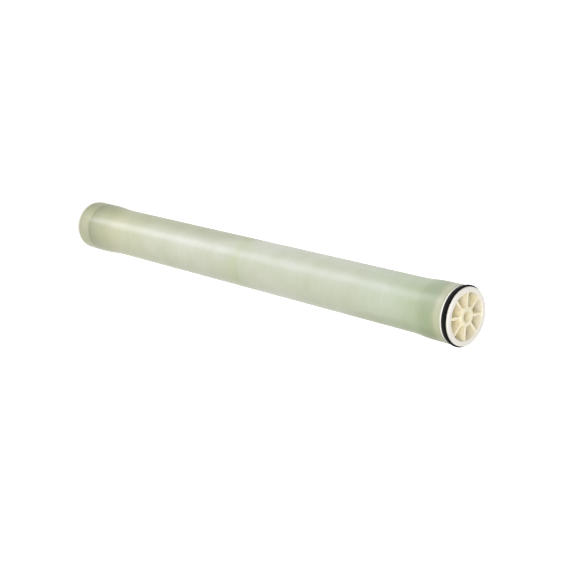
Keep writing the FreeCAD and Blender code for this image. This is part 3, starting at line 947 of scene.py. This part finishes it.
bare_shell = finished("bare_shell", turned_mesh("bare_shell", shell_section))


RIPPLE_BAND, RIPPLE_RELIEF, RIPPLE_SEED = 12.0, 0.05, 3.0
RIPPLE_INSIDE = SHELL_BODY - 0.6
FLOW_SCALE, FLOW_SHARE = 18.0, 4.0


def tree_wound():
    """Move the outer points of the incoming shell along their radius by two trains of ripples."""
    tree, given, result = new_tree(
        "wound_fibre",
        ("Inner Radius", "Float", RIPPLE_INSIDE * MM),
        ("Band", "Float", RIPPLE_BAND * MM),
        ("Relief", "Float", RIPPLE_RELIEF * MM),
        ("Seed", "Float", RIPPLE_SEED),
        ("Material", "Material", None),
    )
    place = step(tree, "GeometryNodeInputPosition").outputs[0]
    axes = step(tree, "ShaderNodeSeparateXYZ", Vector=place).outputs
    flat = step(tree, "ShaderNodeCombineXYZ", X=axes["X"], Y=axes["Y"]).outputs[0]
    radius = step(tree, "ShaderNodeVectorMath", {"operation": "LENGTH"}, _0=flat).outputs["Value"]
    angle = sum_of(tree, "ARCTAN2", axes["Y"], axes["X"])
    turns = sum_of(tree, "MULTIPLY", sum_of(tree, "DIVIDE", axes["Z"], given["Band"]), 2 * math.pi)
    phases = [sum_of(tree, "MULTIPLY_ADD", angle, sense, turns) for sense in (2.0, -3.0)]
    ripple = sum_of(tree, "ADD", *[sum_of(tree, "SINE", phase) for phase in phases])
    seeded = {"noise_dimensions": "4D"}
    flow = step(tree, "ShaderNodeTexNoise", seeded, Vector=place, W=given["Seed"], Scale=FLOW_SCALE)
    either_way = sum_of(tree, "SUBTRACT", flow.outputs[0], 0.5)
    height = sum_of(tree, "MULTIPLY_ADD", either_way, FLOW_SHARE, ripple)
    outer = sum_of(tree, "GREATER_THAN", radius, given["Inner Radius"])
    amount = sum_of(tree, "MULTIPLY", sum_of(tree, "MULTIPLY", height, given["Relief"]), outer)
    way = step(tree, "ShaderNodeVectorMath", {"operation": "NORMALIZE"}, _0=flat).outputs[0]
    move = step(tree, "ShaderNodeVectorMath", {"operation": "SCALE"}, _0=way)
    tree.links.new(amount, move.inputs["Scale"])
    moved = step(tree, "GeometryNodeSetPosition", Geometry=given["Geometry"], Offset=move.outputs[0])
    real = step(tree, "GeometryNodeRealizeInstances", Geometry=moved.outputs[0])
    final = step(tree, "GeometryNodeSetMaterial", Geometry=real.outputs[0], Material=given["Material"])
    tree.links.new(final.outputs[0], result)
    return tree


# %% [markdown]
# Cured glass fibre lets some light in, so what lies below it shows as colour: ivory over the skirts of the
# caps, a dark line where a skirt ends, green where the resin is thick over the step, and a paler green along
# the roll. The finish paints those zones with a colour ramp over the height, then breaks them up with cloudy
# resin and with streaks round the tube, which are the rovings. Over that lies painted shade: a long darker
# band that starts along one side, crosses the back and ends along the other side, and shades the edges
# of the shell.

# %% Finish of the shell
fibre = Finish("wound_glass_fibre", roughness=0.36, Specular_IOR_Level=0.5)

# The painted shade turns between two heights in metres, each with its angle, and fades out to its sides.
PAINTED_SHADE_LOW, PAINTED_SHADE_HIGH = (0.38, 2.68), (0.88, 6.19)
PAINTED_SHADE_SIDE, PAINTED_SHADE_COLOUR = 0.62, (220, 222, 204)
ZONE_WAVER, WEAVE_BAND = 0.006, 3.2

# What shows through the shell, as a height in millimetres and a colour
ZONES = [
    (0, (189, 188, 159)),
    (20, (186, 187, 155)),
    (40, (180, 181, 149)),
    (43, (149, 150, 118)),
    (47, (161, 163, 132)),
    (62, (170, 172, 141)),
    (85, (184, 185, 154)),
    (130, (196, 196, 165)),
    (190, (197, 198, 170)),
    (260, (199, 201, 178)),
    (430, (197, 200, 179)),
    (488, (195, 199, 176)),
    (496, (192, 197, 168)),
    (512, (189, 196, 163)),
    (518, (197, 201, 181)),
    (560, (200, 203, 185)),
    (800, (196, 201, 181)),
    (900, (190, 199, 175)),
    (942, (181, 192, 163)),
    (956, (168, 180, 149)),
    (972, (161, 174, 142)),
    (983, (165, 174, 143)),
    (986, (189, 190, 160)),
    (992, (191, 193, 163)),
    (996, (188, 193, 163)),
    (1000, (202, 203, 184)),
]
tall = fibre.math("DIVIDE", fibre.axes["Z"], LENGTH)
wavy = fibre.math("MULTIPLY_ADD", fibre.math("SUBTRACT", fibre.noise(25.0), 0.5), ZONE_WAVER, tall)
zones = fibre.ramp(wavy, [(height / LENGTH_MM, colour(*value)) for height, value in ZONES])
clouds = fibre.ramp(fibre.noise(14.0, 4.0), [(0.3, colour(239, 242, 227)), (0.7, colour(255, 255, 255))])
streaks = fibre.ramp(fibre.noise(30.0, 4.0, (1, 1, 14)), [(0.3, grey(0.95)), (0.7, grey(1.0))])
turn_of = fibre.math("ARCTAN2", fibre.axes["Y"], fibre.axes["X"])
bend = fibre.add(
    "ShaderNodeMapRange",
    {"interpolation_type": "SMOOTHSTEP"},
    Value=fibre.axes["Z"],
    From_Min=PAINTED_SHADE_LOW[0],
    From_Max=PAINTED_SHADE_HIGH[0],
    To_Min=PAINTED_SHADE_LOW[1],
    To_Max=PAINTED_SHADE_HIGH[1],
)
# Painted shade: how near each point lies to the middle of the dark band, then a ramp to its darker colour
toward_painted_shade = fibre.math("COSINE", fibre.math("ADD", turn_of, bend.outputs[0]))
painted_shade = fibre.ramp(toward_painted_shade, [(PAINTED_SHADE_SIDE, grey(1.0)), (1.0, colour(*PAINTED_SHADE_COLOUR))])
# The zones and clouds are the shell's own colour, and the band multiplied over them is painted shade
resin_and_painted_shade = fibre.mix(1.0, fibre.mix(1.0, zones, clouds, "MULTIPLY"), painted_shade, "MULTIPLY")
fibre.paint(fibre.mix(1.0, resin_and_painted_shade, streaks, "MULTIPLY"))
trains = []
for sense in (3.0, -4.0):
    slant = fibre.math("MULTIPLY", turn_of, sense)
    phase = fibre.math("MULTIPLY_ADD", fibre.axes["Z"], 2 * math.pi / (WEAVE_BAND * MM), slant)
    trains.append(fibre.math("SINE", phase))
weave = fibre.math("ADD", *trains)
fibre.roughen(fibre.noise(40.0, 4.0, (1, 1, 6)), 0.28, 0.45)
rovings = fibre.math("MULTIPLY_ADD", fibre.noise(120.0, 4.0, (1, 1, 8)), 2.0, weave)
fibre.emboss(rovings, strength=0.18, depth=0.05)

# %% Wind the shell
shell_values = {
    "Inner Radius": RIPPLE_INSIDE * MM,
    "Band": RIPPLE_BAND * MM,
    "Relief": RIPPLE_RELIEF * MM,
    "Seed": RIPPLE_SEED,
    "Material": fibre.material,
}
shell = run_tree("wound_shell", bare_shell, tree_wound(), shell_values, 50)
settle(shell, "fibreglass", "fibreglass_shell")

# %% Finish
bpy.context.scene.view_settings.view_transform = "Standard"
